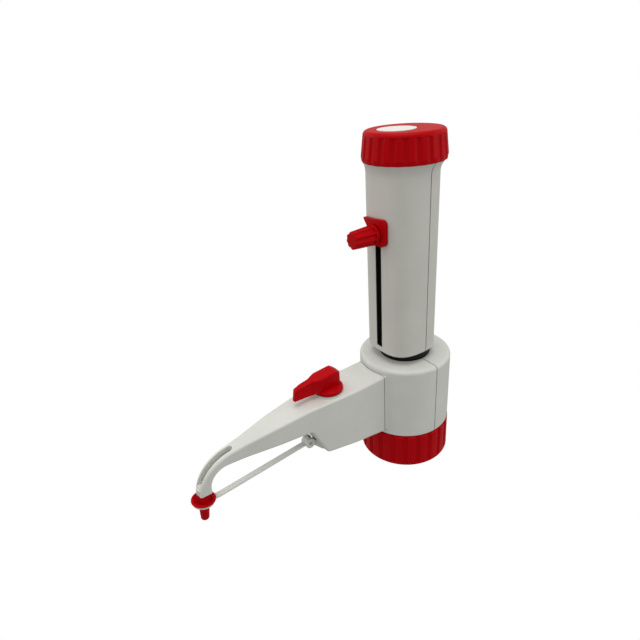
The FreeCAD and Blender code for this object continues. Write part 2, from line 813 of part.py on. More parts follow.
def arm_side_points():
    """Side view of the arm as (distance out, z, corner radius), root at the case."""
    return [
        (ARM_ROOT, ARM_TOP),
        (ARM_KNEE, ARM_KNEE_TOP, ARM_BEND_R),
        (ARM_SLOPE_Y, ARM_SLOPE_TOP, ARM_BEND_R),
        (TIP_OUTER, TIP_OUTER_TOP, TIP_OUTER_R),
        (TIP_OUTER, TIP_END - 8),
        (TIP_INNER, TIP_END - 8),
        (TIP_INNER, TIP_FLOOR, TIP_INNER_R),
        (BEAM_START, BEAM_FLOOR, BOX_INNER_R),
        (BOX_FRONT, BOX_FLOOR_FRONT, BOX_OUTER_R),
        (ARM_ROOT, ARM_FLOOR),
    ]


def cavity_side_points():
    """Side view of the hollow in the arm, one wall inside its outline."""
    t = ARM_WALL
    fall = (ARM_SLOPE_TOP - TIP_OUTER_TOP) / (TIP_OUTER - ARM_SLOPE_Y)
    end_top = ARM_SLOPE_TOP - fall * (CAVITY_END - ARM_SLOPE_Y)
    return [
        (ARM_ROOT - 1, ARM_TOP - t),
        (ARM_KNEE, ARM_KNEE_TOP - t, ARM_BEND_R),
        (ARM_SLOPE_Y, ARM_SLOPE_TOP - t, ARM_BEND_R),
        (CAVITY_END, end_top - t, 1.0),
        (CAVITY_END, TIP_FLOOR + t, 1.0),
        (BEAM_START - t, BEAM_FLOOR + t, BOX_INNER_R),
        (BOX_FRONT - t, BOX_FLOOR_FRONT + t, BOX_OUTER_R - t),
        (ARM_ROOT - 1, ARM_FLOOR + t),
    ]


def arm_plan_points(inset):
    """Half of the arm seen from above as (x, y, corner radius), root first."""
    t = inset
    return [
        (ARM_X - t, -ARM_ROOT + (1 if t else 0)),
        (ARM_X - 0.1 - t, -50.0, 60.0),
        (ARM_X - 2.2 - t, -75.0, 60.0),
        (ARM_X - 4.6 - t, -100.0, 60.0),
        (ARM_X - 7.6 - t, -120.0, 40.0),
        (TIP_X - t, -130.0, 20.0),
        (TIP_X - t, -TIP_OUTER - 2),
    ]


def arm_body():
    side = side_prism(arm_side_points(), -ARM_X - 1, ARM_X + 1)
    plan = plan_prism(mirrored(arm_plan_points(0.0)), 0, ARM_TOP + 5)
    below_tip = block(-ARM_X, ARM_X, -2 * TIP_OUTER, -TIP_INNER + 2, 0, TIP_END)
    return side.common(plan).cut(below_tip)


def arm_bays():
    """Hollows of the arm, parted by the two ribs that hold the valve body."""
    side = side_prism(cavity_side_points(), -ARM_X, ARM_X)
    plan = plan_prism(mirrored(arm_plan_points(ARM_WALL)), 0, ARM_TOP + 5)
    ribs = [
        block(-ARM_X, ARM_X, -near - RIB_T, -near, 0, ARM_TOP)
        for near in (RIB_NEAR, RIB_FAR)
    ]
    return side.common(plan).cut(ribs[0].fuse(ribs[1]))


def edge_angle(solid, edge):
    """Angle in degrees between the two faces that meet at the middle of an edge."""
    middle = edge.valueAt((edge.FirstParameter + edge.LastParameter) / 2)
    faces = solid.ancestorsOfType(edge, Part.Face)
    normals = [f.normalAt(*f.Surface.parameter(middle)) for f in faces]
    if len(normals) != 2:
        return 0.0
    return math.degrees(normals[0].getAngle(normals[1]))


def sharp_edges(solid):
    """Edges where two faces meet at a clear angle, apart from those on a cut-off end."""
    found = []
    for edge in solid.Edges:
        middle = edge.valueAt((edge.FirstParameter + edge.LastParameter) / 2)
        cut_off = abs(middle.y + ARM_ROOT) < 0.01 or abs(middle.z - TIP_END) < 0.01
        if not cut_off and edge_angle(solid, edge) > 30:
            found.append(edge)
    return found


def leaned(shape):
    """Turn a piece that was drawn upright under the tip to the lean of the nozzle."""
    shape.rotate(V(0, NOZZLE_Y, TIP_END), V(1, 0, 0), -NOZZLE_LEAN)
    return shape


def channel_path():
    """Centre line of the tube: straight through the beam, then round into the nozzle."""
    bend = TUBE_BEND_R
    arc = math.radians(90 - NOZZLE_LEAN)
    slope = math.tan(math.radians(NOZZLE_LEAN))
    turn_z = CHANNEL_Z - bend + bend * math.cos(arc)
    turn_y = NOZZLE_Y + slope * (turn_z - TIP_END)
    knee_y = turn_y + bend * math.sin(arc)
    start = V(0, -(VALVE_BODY_END - TUBE_SOCKET), CHANNEL_Z)
    knee = V(0, knee_y, CHANNEL_Z)
    middle = V(0, knee_y - bend * math.sin(arc / 2), CHANNEL_Z - bend + bend * math.cos(arc / 2))
    turn = V(0, turn_y, turn_z)
    end = V(0, NOZZLE_Y + slope * (TUBE_END - TIP_END), TUBE_END)
    return Part.Wire([
        Part.makeLine(start, knee),
        Part.Arc(knee, middle, turn).toShape(),
        Part.makeLine(turn, end),
    ])


def channel_solid(radius):
    path = channel_path()
    start = V(0, -(VALVE_BODY_END - TUBE_SOCKET), CHANNEL_Z)
    disc = Part.Wire([Part.makeCircle(radius, start, V(0, 1, 0))])
    return path.makePipeShell([disc], True, False)


def tip_groove():
    """Open groove over the bend of the tip, with a round end towards the case."""
    far = TIP_OUTER + 5
    run = block(-GROOVE_X, GROOVE_X, -far, -GROOVE_START, GROOVE_BOTTOM, ARM_TOP)
    end = along_z(GROOVE_X, GROOVE_BOTTOM, ARM_TOP, 0, -GROOVE_START)
    knee_y = channel_path().Vertexes[1].Y
    floor = across(GROOVE_FLOOR_R, GROOVE_X + 1, knee_y, CHANNEL_Z - TUBE_BEND_R)
    return run.fuse(end).cut(floor)


def strap_lug():
    """Tongue under the beam that carries the strap pin and spreads into the box front."""
    reach = -PIN_Y
    lean = math.radians(LUG_LEAN)
    low = LUG_TIP_R * math.sin(lean)
    tongue = side_prism([
        (BOX_FRONT - 4, LUG_FLOOR),
        (BOX_FRONT + 1, LUG_FLOOR),
        (reach + low, PIN_Z - LUG_TIP_R * math.cos(lean)),
        (reach, PIN_Z),
        (reach, PIN_Z + LUG_TIP_R),
        (BOX_FRONT + 1, LUG_TOP),
        (BOX_FRONT - 4, LUG_TOP),
    ], -LUG_FOOT_X, LUG_FOOT_X)
    plan = plan_prism(mirrored([
        (LUG_FOOT_X, -BOX_FRONT + 4),
        (LUG_FOOT_X, -LUG_FOOT_Y),
        (LUG_X, -LUG_WAIST_Y, 1.0),
        (LUG_X, PIN_Y - LUG_TIP_R),
    ]), LUG_FLOOR - 1, PIN_Z + LUG_TIP_R + 1)
    return tongue.common(plan).fuse(across(LUG_TIP_R, LUG_X, PIN_Y, PIN_Z))


def arm_shell():
    outer = arm_body()
    outer = outer.makeFillet(ARM_EDGE_R, sharp_edges(outer))
    pad = along_z(LEVER_PAD_R, ARM_KNEE_TOP - ARM_WALL, LEVER_PAD_TOP, 0, LEVER_Y)
    foot = NOZZLE_Y + TIP_COLLAR_Y
    collar = leaned(along_z(TIP_COLLAR_R, TIP_END, TIP_END + TIP_COLLAR_H, 0, foot))
    shell = outer.multiFuse([pad, collar, strap_lug()])
    seat = VALVE_BODY_R + SEAT_FIT
    window = block(-seat, seat, -RIB_FAR - RIB_T - 1, -RIB_NEAR + 1,
                   CHANNEL_Z - seat, TOWER_TOP + PLUG_SEAL_T + SEAT_FIT)
    plug_hole = along_z(PLUG_R + GAP, CHANNEL_Z, LEVER_PAD_TOP + 1, 0, LEVER_Y)
    cuts = [
        arm_bays(),
        window,
        plug_hole,
        along_z(CASE_R + ARM_JOINT, 0, CASE_TOP),
        channel_solid(TUBE_R + SEAT_FIT),
        tip_groove(),
        across(PIN_R + SEAT_FIT, LUG_X + 1, PIN_Y, PIN_Z),
    ]
    for cut in cuts:
        shell = shell.cut(cut)
    return shell


def port_union():
    """Screwed link from the valve block into the arm, with the discharge seat at its end."""
    near = UNION_NEAR
    hex_near = UNION_FAR - UNION_HEX + 2 * GAP
    hex_far = RIB_NEAR - 3
    body = turned_along_arm([
        (near, 0.0),
        (near, UNION_R),
        (hex_near, UNION_R),
        (hex_near, VALVE_BODY_R),
        (hex_far, VALVE_BODY_R),
        (hex_far, UNION_R),
        (UNION_FAR, UNION_R),
        (UNION_FAR, 0.0),
    ])
    bore = along_arm(UNION_BORE_R, near - 1, UNION_FAR + 1)
    depth = UNION_R - UNION_LIP - UNION_BORE_R
    seat = Part.makeCone(UNION_R - UNION_LIP, UNION_BORE_R, depth,
                         V(0, -UNION_FAR, CHANNEL_Z), V(0, 1, 0))
    return body.cut(bore).cut(seat)


def discharge_ball_y():
    depth = UNION_R - UNION_LIP - UNION_BORE_R
    seat = BALL_R * math.cos(math.pi / 4)
    return UNION_FAR - depth + 2 * seat - UNION_BORE_R + RUN_FIT


def discharge_ball():
    return Part.makeSphere(BALL_R, V(0, -discharge_ball_y(), CHANNEL_Z))


def discharge_spring():
    start = discharge_ball_y() + BALL_R * SPRING_ON_BALL + SPRING_WIRE
    length = SPRING_END - start - SPRING_WIRE
    pitch = length / SPRING_TURNS
    helix = Part.makeHelix(pitch, length, SPRING_R)
    out = V(1, 0, 0)
    up = out.cross(V(0, SPRING_R, pitch / (2 * math.pi)).normalize())
    corners = []
    for i in range(SPRING_SIDES):
        turn = 2 * math.pi * i / SPRING_SIDES
        spoke = out * math.cos(turn) + up * math.sin(turn)
        corners.append(out * SPRING_R + spoke * SPRING_WIRE)
    profile = Part.makePolygon(corners + corners[:1])
    coil = Part.Wire(helix).makePipeShell([profile], True, True)
    coil.rotate(V(0, 0, 0), V(1, 0, 0), 90)
    coil.translate(V(0, -start, CHANNEL_Z))
    return coil


def valve_body():
    """Body in the arm that holds the discharge valve and the recirculation plug."""
    start = RIB_NEAR - 3
    run = along_arm(VALVE_BODY_R, start, VALVE_BODY_END)
    tower = along_z(VALVE_BODY_R, CHANNEL_Z - PLUG_FOOT, TOWER_TOP, 0, LEVER_Y)
    chamber_r = BALL_R + BALL_ROOM
    cuts = [
        along_arm(UNION_R + SEAT_FIT, start - 1, UNION_FAR),
        along_arm(chamber_r, UNION_FAR - 1, SPRING_END),
        along_arm(PLUG_BORE_R, SPRING_END - 1, VALVE_BODY_END + 1),
        along_arm(TUBE_R + SEAT_FIT, VALVE_BODY_END - TUBE_SOCKET, VALVE_BODY_END + 1),
        along_z(PLUG_R + RUN_FIT, CHANNEL_Z - PLUG_FOOT + 2, ARM_TOP, 0, LEVER_Y),
    ]
    body = run.fuse(tower)
    for cut in cuts:
        body = body.cut(cut)
    return body.removeSplitter()


def recirculation_plug():
    foot = CHANNEL_Z - PLUG_FOOT + 2 + GAP
    stem = along_z(PLUG_R, foot, LEVER_PAD_TOP + PLUG_SOCKET, 0, LEVER_Y)
    bore = Part.makeCylinder(PLUG_BORE_R, 4 * PLUG_R, V(0, LEVER_Y + 2 * PLUG_R, CHANNEL_Z),
                             V(0, -1, 0))
    return stem.cut(bore)


def plug_seal():
    return ring_z(PLUG_SEAL_R, PLUG_R + GAP, TOWER_TOP, TOWER_TOP + PLUG_SEAL_T, 0, LEVER_Y)


def lever_section(z, half, inset, fall):
    """Plan of the lever at one height, falling outwards: a broad grip, then a narrow beak."""
    back = LEVER_Y + LEVER_BACK - inset
    grip = LEVER_Y - LEVER_GRIP
    return outline(mirrored([
        (half - inset, back, 2.0),
        (half - inset, grip, 1.6),
        (LEVER_NECK_X - inset, grip - LEVER_STEP, 3.0),
        (LEVER_NOSE_X - inset, LEVER_Y - LEVER_NOSE + inset, LEVER_TIP_R),
    ]), lambda p: V(p.x, p.y, z - fall * (back - p.y)))


def recirculation_lever():
    """Round disc with a grip that narrows into a beak, its upper edges bevelled."""
    z0 = LEVER_PAD_TOP + GAP
    crest = z0 + LEVER_DISC_H + LEVER_CREST
    disc = turned([
        (0.0, z0),
        (LEVER_DISC_R, z0, 0.5),
        (LEVER_DISC_R, z0 + LEVER_DISC_H, 0.9),
        (LEVER_GRIP_X, crest),
        (0.0, crest),
    ], 0.0, LEVER_Y)
    fall = (LEVER_TOP - LEVER_NOSE_TOP) / (LEVER_BACK + LEVER_NOSE)
    bevel = LEVER_BEVEL
    grip = Part.makeLoft([
        lever_section(LEVER_NOSE_FLOOR, LEVER_GRIP_X * LEVER_WAIST, 0.0, 0.0),
        lever_section(LEVER_TOP - bevel, LEVER_GRIP_X, 0.0, fall),
        lever_section(LEVER_TOP, LEVER_GRIP_X, bevel, fall),
    ], True, True)
    back = -LEVER_Y - LEVER_BACK - 1
    nose = -LEVER_Y + LEVER_NOSE + 1
    envelope = side_prism([
        (back, LEVER_NOSE_FLOOR - 1),
        (back, LEVER_TOP - LEVER_BACK_DROP, LEVER_BACK_R),
        (back + LEVER_BACK, LEVER_TOP + bevel, LEVER_CREST_R),
        (nose, LEVER_NOSE_TOP + bevel, LEVER_NOSE_R),
        (nose, LEVER_NOSE_FLOOR - 1),
    ], -LEVER_DISC_R, LEVER_DISC_R)
    socket = along_z(PLUG_R + SEAT_FIT, z0 - 1, LEVER_PAD_TOP + PLUG_SOCKET, 0, LEVER_Y)
    return disc.fuse(grip.common(envelope)).cut(socket).removeSplitter()


def discharge_tube():
    return channel_solid(TUBE_R).cut(channel_solid(TUBE_BORE_R))


def tube_nut():
    end = VALVE_BODY_END + TUBE_NUT_L
    nut = turned_along_arm([
        (VALVE_BODY_END, TUBE_R + SEAT_FIT),
        (VALVE_BODY_END, TUBE_NUT_R),
        (end - 1.5, TUBE_NUT_R),
        (end, TUBE_NUT_R - 1.2),
        (end, TUBE_R + SEAT_FIT),
    ])
    return nut


def closure_cap():
    """Dished red flange with a hub and a blind socket that covers the nozzle."""
    rim = CLOSURE_RIM_Z
    under = rim - CLOSURE_RIM_T
    dish = rim - CLOSURE_DISH
    mouth = TIP_END - GAP
    body = turned([
        (0.0, STUB_END),
        (STUB_END_R, STUB_END, 1.6),
        (STUB_R, under - STRAP_T - 1.2),
        (STUB_R, under),
        (CLOSURE_RIM_R - 0.5, under),
        (CLOSURE_RIM_R, under + 0.5),
        (CLOSURE_RIM_R, rim, 0.4),
        (CLOSURE_RIM_R - 1.2, rim),
        (HUB_R + 0.4, dish, 0.4),
        (HUB_R, mouth, 0.2),
        (0.0, mouth),
    ], 0.0, NOZZLE_Y)
    socket = along_z(SOCKET_R, SOCKET_FLOOR, mouth + 1, 0, NOZZLE_Y)
    flare = Part.makeCone(SOCKET_R, SOCKET_MOUTH_R, mouth - TUBE_END, V(0, NOZZLE_Y, TUBE_END))
    return leaned(body.cut(socket.fuse(flare)))


def closure_strap():
    """Moulded strap: a ring under the closure's flange, a strip, and a forked eye."""
    under = CLOSURE_RIM_Z - CLOSURE_RIM_T
    z0 = under - STRAP_T
    half = STRAP_T / 2
    pin = V(0, PIN_Y - NOZZLE_Y, PIN_Z - TIP_END)
    pin = FreeCAD.Rotation(V(1, 0, 0), NOZZLE_LEAN).multVec(pin) + V(0, NOZZLE_Y, TIP_END)
    ring = ring_z(STRAP_RING_R, STUB_R + SEAT_FIT, z0, under, 0, NOZZLE_Y)
    start = -NOZZLE_Y - STRAP_RING_R + STRAP_LAP
    rise = -NOZZLE_Y - CLOSURE_RIM_R - STRAP_BEND_Y
    strip = side_prism([
        (start, z0),
        (start, under),
        (rise, under, STRAP_BEND_R),
        (-pin.y, pin.z + half),
        (-pin.y, pin.z - half),
        (rise, z0, STRAP_BEND_R),
    ], -STRAP_W / 2, STRAP_W / 2)
    crotch = LUG_TIP_R + 2 * GAP
    inner = LUG_X + GAP
    strap = ring.multiFuse([strip, across(EYE_R, inner + EYE_W, pin.y, pin.z)])
    far = EYE_R + 1
    cuts = [
        across(crotch, inner, pin.y, pin.z),
        block(-inner, inner, pin.y, pin.y + far, pin.z - far, pin.z + far),
        block(-inner, inner, pin.y - far, pin.y + far, pin.z - far, pin.z - STRAP_T),
        across(PIN_R + RUN_FIT, inner + far, pin.y, pin.z),
    ]
    for cut in cuts:
        strap = strap.cut(cut)
    return leaned(strap.removeSplitter())


def strap_pin():
    return across(PIN_R, PIN_HALF, PIN_Y, PIN_Z)


def build():
    case_core = along_z(CASE_R - SEAM_DEPTH, 0, CASE_TOP - SEAM_DEPTH)
    case_front, case_rear = halves(casing(), case_core)
    foot = housing_prism(0.0, HOUSING_BOTTOM - 1, HOUSING_BOTTOM + HOUSING_BEVEL)
    spigot = along_z(SPIGOT_R + 1, RIM_Z, CAP_TOP, 0, CAP_Y)
    shell_core = housing_outside(SEAM_DEPTH).multiFuse([foot, spigot])
    shell_front, shell_rear = halves(housing(), shell_core)
    return {
        "bottle_ring": bottle_ring(),
        "seat_flange": seat_flange(),
        "bottle_seal": bottle_seal(),
        "valve_block": valve_block(),
        "filling_valve": filling_valve(),
        "filling_washer": filling_washer(),
        "filling_ball": filling_ball(),
        "casing_front": case_front,
        "casing_rear": case_rear,
        "cylinder_gasket": cylinder_gasket(),
        "glass_cylinder": glass_cylinder(),
        "guide_sleeve": guide_sleeve(),
        "stop_ring": stop_ring(),
        "cylinder_nut": cylinder_nut(),
        "piston_head": piston_head(),
        "piston_rod": piston_rod(),
        "rod_nut": rod_nut(),
        "housing_front": shell_front.cut(slot_shape(RAIL_LIP, SLEEVE_R)),
        "housing_rear": shell_rear,
        "gear_rack": gear_rack(),
        "top_cap": top_cap(),
        "cap_label": cap_label(),
        "slider_plate": slider_plate(),
        "slider_carrier": slider_carrier(),
        "thumb_knob": thumb_knob(),
        "thumb_stud": thumb_stud(),
        "arm_shell": arm_shell(),
        "port_union": port_union(),
        "valve_body": valve_body(),
        "discharge_ball": discharge_ball(),
        "discharge_spring": discharge_spring(),
        "discharge_tube": discharge_tube(),
        "tube_nut": tube_nut(),
        "recirculation_plug": recirculation_plug(),
        "plug_seal": plug_seal(),
        "recirculation_lever": recirculation_lever(),
        "closure_cap": closure_cap(),
        "closure_strap": closure_strap(),
        "strap_pin": strap_pin(),
    }


os.makedirs("parts", exist_ok=True)
for name, shape in build().items():
    shape.exportStep("parts/" + name + ".step")
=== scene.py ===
import json
import math

import bmesh
import bpy
from mathutils import Matrix, Vector


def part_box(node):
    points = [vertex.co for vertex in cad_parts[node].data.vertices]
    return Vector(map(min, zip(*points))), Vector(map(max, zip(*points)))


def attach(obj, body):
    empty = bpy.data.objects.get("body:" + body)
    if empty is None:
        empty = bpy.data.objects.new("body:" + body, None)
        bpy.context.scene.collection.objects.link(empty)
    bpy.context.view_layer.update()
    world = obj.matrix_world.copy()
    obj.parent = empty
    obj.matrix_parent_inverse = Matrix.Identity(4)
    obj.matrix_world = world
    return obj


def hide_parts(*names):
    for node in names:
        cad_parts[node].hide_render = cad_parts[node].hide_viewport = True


MM = 0.001

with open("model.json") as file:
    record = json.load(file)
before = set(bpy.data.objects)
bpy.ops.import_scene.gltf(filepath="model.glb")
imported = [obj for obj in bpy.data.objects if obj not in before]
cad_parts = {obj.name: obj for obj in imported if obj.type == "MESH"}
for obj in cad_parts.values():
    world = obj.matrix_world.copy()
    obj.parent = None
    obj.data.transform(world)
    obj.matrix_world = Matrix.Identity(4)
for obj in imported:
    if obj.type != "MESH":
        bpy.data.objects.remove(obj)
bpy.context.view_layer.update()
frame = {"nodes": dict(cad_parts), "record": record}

groups = frame["record"]["behaviour"]["bodies"]
body_of = {node: body for body, nodes in groups.items() for node in nodes}
slot_of = {s["node"]: s["material_slot"] for s in frame["record"]["subparts"]}


# Node and material helpers

def srgb(code):
    """Linear colour of an sRGB hex code."""
    values = [int(code[i:i + 2], 16) / 255 for i in (1, 3, 5)]
    linear = [v / 12.92 if v <= 0.04045 else ((v + 0.055) / 1.055) ** 2.4 for v in values]
    return linear + [1.0]


def add_node(tree, kind, **inputs):
    """New node with its sockets set or linked. A key such as Base_Color names a socket."""
    node = tree.nodes.new(kind)
    for key, value in inputs.items():
        if key.startswith("set_"):
            setattr(node, key[4:], value)
            continue
        socket = node.inputs[int(key[1:])] if key[1:].isdigit() else node.inputs[key.replace("_", " ")]
        if isinstance(value, bpy.types.NodeSocket):
            tree.links.new(value, socket)
        else:
            socket.default_value = value
    return node


# Sizes in the finishes, in mm
MOULD_GRAIN = 0.25      # grain of a spark-eroded mould, drawn coarser than the real 0.05 to show at all
GRAIN_DEPTH = 0.004
SHADE_PATCH = 18.0      # a moulding's shade drifts over patches of this size
SOFT_EDGE = 0.25        # radius that moulded edges are seen with
SEAM_SHADE_REACH = 0.7        # painted shade darkens what lies this deep in a seam or flute
STRAP_SHADE_REACH = 16.0      # painted shade: the strap hangs close under the arm and is darkened where the arm is this near
TURNING_MARKS = 0.3

POLYMER_IOR = 1.5
ROUGH_SWING = 0.04
STEEL_ROUGH_SWING = 0.08


def moulded(name, colour, rough, grain=MOULD_GRAIN, depth=GRAIN_DEPTH, shine=0.5, shade=0.03,
            painted_shade=0.45, reach=SEAM_SHADE_REACH):
    """Moulded plastic: soft edges, fine grain, a slow drift of its tone at random, and painted shade in
    its seams, creases and gaps.
    """
    mat = bpy.data.materials.new(name)
    mat.use_nodes = True
    tree = mat.node_tree
    shader = tree.nodes["Principled BSDF"]
    place = add_node(tree, "ShaderNodeTexCoord").outputs["Object"]
    fine = add_node(tree, "ShaderNodeTexNoise", Vector=place, Scale=1 / (grain * MM), Detail=2.0)
    drift = add_node(tree, "ShaderNodeTexNoise", Vector=place, Scale=1 / (SHADE_PATCH * MM), Detail=3.0)
    swing = add_node(tree, "ShaderNodeMapRange", Value=drift.outputs["Fac"],
                     From_Min=0.3, From_Max=0.7, To_Min=1 - shade, To_Max=1 + shade)
    tint = add_node(tree, "ShaderNodeHueSaturation", Value=swing.outputs["Result"],
                    Color=srgb(colour))
    # Ambient occlusion darkens the base colour: painted shade in seams, flutes, creases and gaps
    # between parts
    open_share = add_node(tree, "ShaderNodeAmbientOcclusion", set_samples=8, Distance=reach * MM)
    painted_shade_level = add_node(tree, "ShaderNodeMapRange", Value=open_share.outputs["AO"],
                     From_Min=0.35, From_Max=0.8, To_Min=1 - painted_shade, To_Max=1.0)
    painted_shade_colour = add_node(tree, "ShaderNodeHueSaturation", Value=painted_shade_level.outputs["Result"],
                     Color=tint.outputs["Color"])
    wear = add_node(tree, "ShaderNodeMapRange", Value=fine.outputs["Fac"],
                    From_Min=0.3, From_Max=0.7, To_Min=rough - ROUGH_SWING, To_Max=rough + ROUGH_SWING)
    soft = add_node(tree, "ShaderNodeBevel", set_samples=4, Radius=SOFT_EDGE * MM)
    bump = add_node(tree, "ShaderNodeBump", Height=fine.outputs["Fac"],
                    Distance=depth * MM, Strength=1.0, Normal=soft.outputs["Normal"])
    tree.links.new(painted_shade_colour.outputs["Color"], shader.inputs["Base Color"])
    tree.links.new(wear.outputs["Result"], shader.inputs["Roughness"])
    tree.links.new(bump.outputs["Normal"], shader.inputs["Normal"])
    shader.inputs["IOR"].default_value = POLYMER_IOR
    shader.inputs["Specular IOR Level"].default_value = shine
    return mat


def clear(name, colour, rough, ior, weight):
    """Glass or clear polymer. The weight is the share of light that goes through."""
    mat = bpy.data.materials.new(name)
    mat.use_nodes = True
    shader = mat.node_tree.nodes["Principled BSDF"]
    shader.inputs["Base Color"].default_value = srgb(colour)
    shader.inputs["Roughness"].default_value = rough
    shader.inputs["IOR"].default_value = ior
    shader.inputs["Transmission Weight"].default_value = weight
    return mat


def turned_steel(name, colour, rough):
    """Stainless steel with fine turning marks."""
    mat = bpy.data.materials.new(name)
    mat.use_nodes = True
    tree = mat.node_tree
    shader = tree.nodes["Principled BSDF"]
    place = add_node(tree, "ShaderNodeTexCoord").outputs["Object"]
    marks = add_node(tree, "ShaderNodeTexNoise", Vector=place, Scale=1 / (TURNING_MARKS * MM),
                     Detail=3.0)
    wear = add_node(tree, "ShaderNodeMapRange", Value=marks.outputs["Fac"],
                    To_Min=rough - STEEL_ROUGH_SWING, To_Max=rough + STEEL_ROUGH_SWING)
    tree.links.new(wear.outputs["Result"], shader.inputs["Roughness"])
    shader.inputs["Base Color"].default_value = srgb(colour)
    shader.inputs["Metallic"].default_value = 1.0
    return mat


MATERIALS = {
    # Injection-moulded polypropylene: a waxy half gloss with broad, weak highlights
    "white_plastic": moulded("white_polypropylene", "#D9DAD3", 0.45, shine=0.35),
    "housing_plastic": moulded("warm_white_polypropylene", "#D1D0C8", 0.48, shine=0.35),
    "red_plastic": moulded("red_polypropylene", "#B8000A", 0.42, shine=0.06),
    "inner_plastic": moulded("natural_polypropylene", "#DADBD3", 0.42),
    # The strap's darkening reaches far: painted shadow of the arm above it
    "strap_plastic": moulded("soft_white_polypropylene", "#E9E8E2", 0.4, painted_shade=0.35, reach=STRAP_SHADE_REACH),
    # Printed and lacquered disc: flat, smooth and a little glossier than what it lies in
    "label_face": moulded("white_label_disc", "#F6F1E9", 0.3, depth=0.001, shade=0.01),
    # Polyoxymethylene: dense and dull, nearly black
    "dark_plastic": moulded("black_polyoxymethylene", "#121312", 0.5, shine=0.2),
    # Fluoropolymer: milky, with light just below its surface
    "fluoropolymer": moulded("white_fluoropolymer", "#F2F2EF", 0.35),
    "clear_tube": clear("milky_fluoropolymer_tube", "#DDE0DC", 0.25, 1.35, 0.2),
    # Drawn and polished glass: faintly blue-green, with sharp highlights. Ground glass is duller
    "borosilicate_glass": clear("borosilicate_glass", "#EAF4F3", 0.03, 1.47, 0.95),
    "valve_glass": clear("ground_glass", "#BFD6D4", 0.15, 1.5, 0.8),
    # Drawn wire and turned steel: grey metal, streaked by fine marks
    "spring_metal": turned_steel("spring_wire", "#C9CBCC", 0.25),
    "steel": turned_steel("stainless_steel", "#C4C6C7", 0.3),
    # Moulded elastomer: black and matt, with a grain like fine leather
    "seal_rubber": moulded("black_elastomer", "#1A1A1B", 0.6, grain=0.2),
}

for node, body in frame["nodes"].items():
    body.data.materials.clear()
    body.data.materials.append(MATERIALS[slot_of[node]])


# New pieces

MERGE_REACH = 0.002     # mm
SHARP_ANGLE = math.radians(28)


def new_piece(name, mesh, body, slot):
    """Smooth-shaded piece made from a bmesh, on its body and with its finish."""
    data = bpy.data.meshes.new(name)
    mesh.to_mesh(data)
    mesh.free()
    piece = bpy.data.objects.new(name, data)
    bpy.context.scene.collection.objects.link(piece)
    data.materials.append(MATERIALS[slot])
    for face in data.polygons:
        face.use_smooth = True
    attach(piece, body)
    return piece


def soft_copy(node, name, shape, levels=()):
    """Merged copy of a node's mesh that stands for it: cut at some levels, then its points moved."""
    mesh = bmesh.new()
    mesh.from_mesh(frame["nodes"][node].data)
    bmesh.ops.remove_doubles(mesh, verts=mesh.verts, dist=MERGE_REACH * MM)
    for level in levels:
        whole = list(mesh.verts) + list(mesh.edges) + list(mesh.faces)
        bmesh.ops.bisect_plane(mesh, geom=whole, plane_co=(0, 0, level * MM), plane_no=(0, 0, 1))
    for vert in mesh.verts:
        vert.co = shape(vert.co / MM) * MM
    mesh.normal_update()
    for edge in mesh.edges:
        edge.smooth = edge.is_manifold and edge.calc_face_angle(0.0) < SHARP_ANGLE
    piece = new_piece(name, mesh, body_of[node], slot_of[node])
    piece.modifiers.new("flat_faces", "WEIGHTED_NORMAL").keep_sharp = True
    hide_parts(node)
    return piece


# Round case, in mm: its lid is this much thicker than in the solids and its edge rounder
LID_RISE = 2.2
LID_EDGE_GROWTH = 1.7
LID_EDGE_R = 1.4
LID_FOOT = 1.6
case_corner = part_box("casing_rear")[1]
CASE_R = case_corner[0] / MM
CASE_TOP = case_corner[2] / MM


def raised_lid(point):
    """Lifts the top of the case and widens its rounded edge about the outer corner."""
    if point.z < CASE_TOP - LID_FOOT:
        return point
    around = point.xy.length
    moved = point.copy()
    if around > CASE_R - LID_EDGE_R - 0.01:
        moved.z = CASE_TOP - (CASE_TOP - point.z) * LID_EDGE_GROWTH
        moved.xy *= (CASE_R - (CASE_R - around) * LID_EDGE_GROWTH) / around
    moved.z += LID_RISE
    return moved


soft_copy("casing_front", "case_front_shell", raised_lid)
soft_copy("casing_rear", "case_rear_shell", raised_lid)

# Grip flutes, in mm: the real ones are deeper than the solids', and the cap's foot is fuller
FLUTES = 22
FLUTE_HALF_WIDTH = 1.75
FLUTE_RUN_OUT = 1.2
RING_FLUTE_DEEPER = 0.85
RING_FLUTE_FOOT = 0.8
RING_TOP_BEVEL = 1.5
RING_BEVEL_IN = 1.3
CAP_FLUTE_DEEPER = 0.4
CAP_FLUTE_HEAD = 3.4
CAP_GRIP_R = 20.5
CAP_EDGE_REACH = 0.5
CAP_WIDEST = 2.6
CAP_FOOT_GROWTH = 0.4
EDGE_DEPTH = 1.0
ring_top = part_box("bottle_ring")[1] / MM
cap_low, cap_high = (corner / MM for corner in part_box("top_cap"))
cap_axis = Vector((0, (cap_low.y + cap_high.y) / 2, 0))


def flute_share(out, radius):
    """1 in the middle of a flute, falling to 0 at its edges. The first flute faces the back."""
    step = 2 * math.pi / FLUTES
    turn = math.atan2(out.x, out.y)
    aside = abs((turn + step / 2) % step - step / 2) * radius
    return max(0.0, 1 - (aside / FLUTE_HALF_WIDTH) ** 2)


def ring_grip(point):
    """Deepens the ring's flutes above its plain foot, and bevels its top."""
    around = point.xy.length
    if point.z < RING_FLUTE_FOOT or around < ring_top.x - EDGE_DEPTH:
        return point
    fade = min(1.0, max(0.0, point.z - RING_FLUTE_FOOT) / FLUTE_RUN_OUT)
    sunk = RING_FLUTE_DEEPER * fade * flute_share(point, ring_top.x)
    sunk += RING_BEVEL_IN * max(0.0, 1 - (ring_top.z - point.z) / RING_TOP_BEVEL)
    return point - point.xy.to_3d() * (sunk / around)


